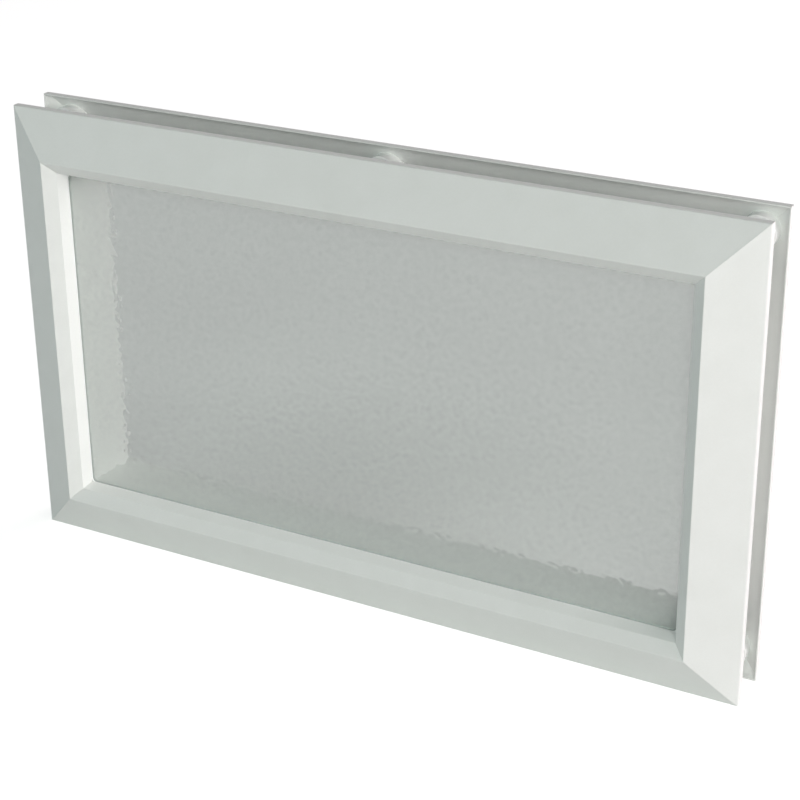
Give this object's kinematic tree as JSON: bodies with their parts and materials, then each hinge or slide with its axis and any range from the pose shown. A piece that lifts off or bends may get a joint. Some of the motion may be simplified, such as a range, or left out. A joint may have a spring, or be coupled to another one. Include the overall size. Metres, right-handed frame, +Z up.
{
  "type": "garage door window",
  "caption": "Rectangular window for a garage door: two mitred white plastic frames clamp the door panel and hold a textured translucent pane.",
  "frame": {"origin": "middle of the bottom edge, half way through the door panel", "axes": "+X to the right as seen from outdoors, -Y outdoors, +Z up"},
  "size_m": [0.49, 0.0636, 0.29],
  "materials": {
    "frame_plastic": "white, satin, moulded",
    "pane": "hammered on one face, translucent",
    "seal_rubber": "pale grey, matt",
    "screw_steel": "bright zinc"
  },
  "bodies": {
    "root": {"outer_rail_top": "frame_plastic", "outer_rail_bottom": "frame_plastic", "outer_rail_left": "frame_plastic", "outer_rail_right": "frame_plastic", "inner_rail_top": "frame_plastic", "inner_rail_bottom": "frame_plastic", "inner_rail_left": "frame_plastic", "inner_rail_right": "frame_plastic", "pane": "pane", "outer_seal": "seal_rubber", "inner_seal": "seal_rubber", "post_top_left": "frame_plastic", "post_top_middle": "frame_plastic", "post_top_right": "frame_plastic", "post_bottom_left": "frame_plastic", "post_bottom_middle": "frame_plastic", "post_bottom_right": "frame_plastic", "socket_top_left": "frame_plastic", "socket_top_middle": "frame_plastic", "socket_top_right": "frame_plastic", "socket_bottom_left": "frame_plastic", "socket_bottom_middle": "frame_plastic", "socket_bottom_right": "frame_plastic", "screw_top_left": "screw_steel", "screw_top_middle": "screw_steel", "screw_top_right": "screw_steel", "screw_bottom_left": "screw_steel", "screw_bottom_middle": "screw_steel", "screw_bottom_right": "screw_steel"}
  },
  "joints": []
}
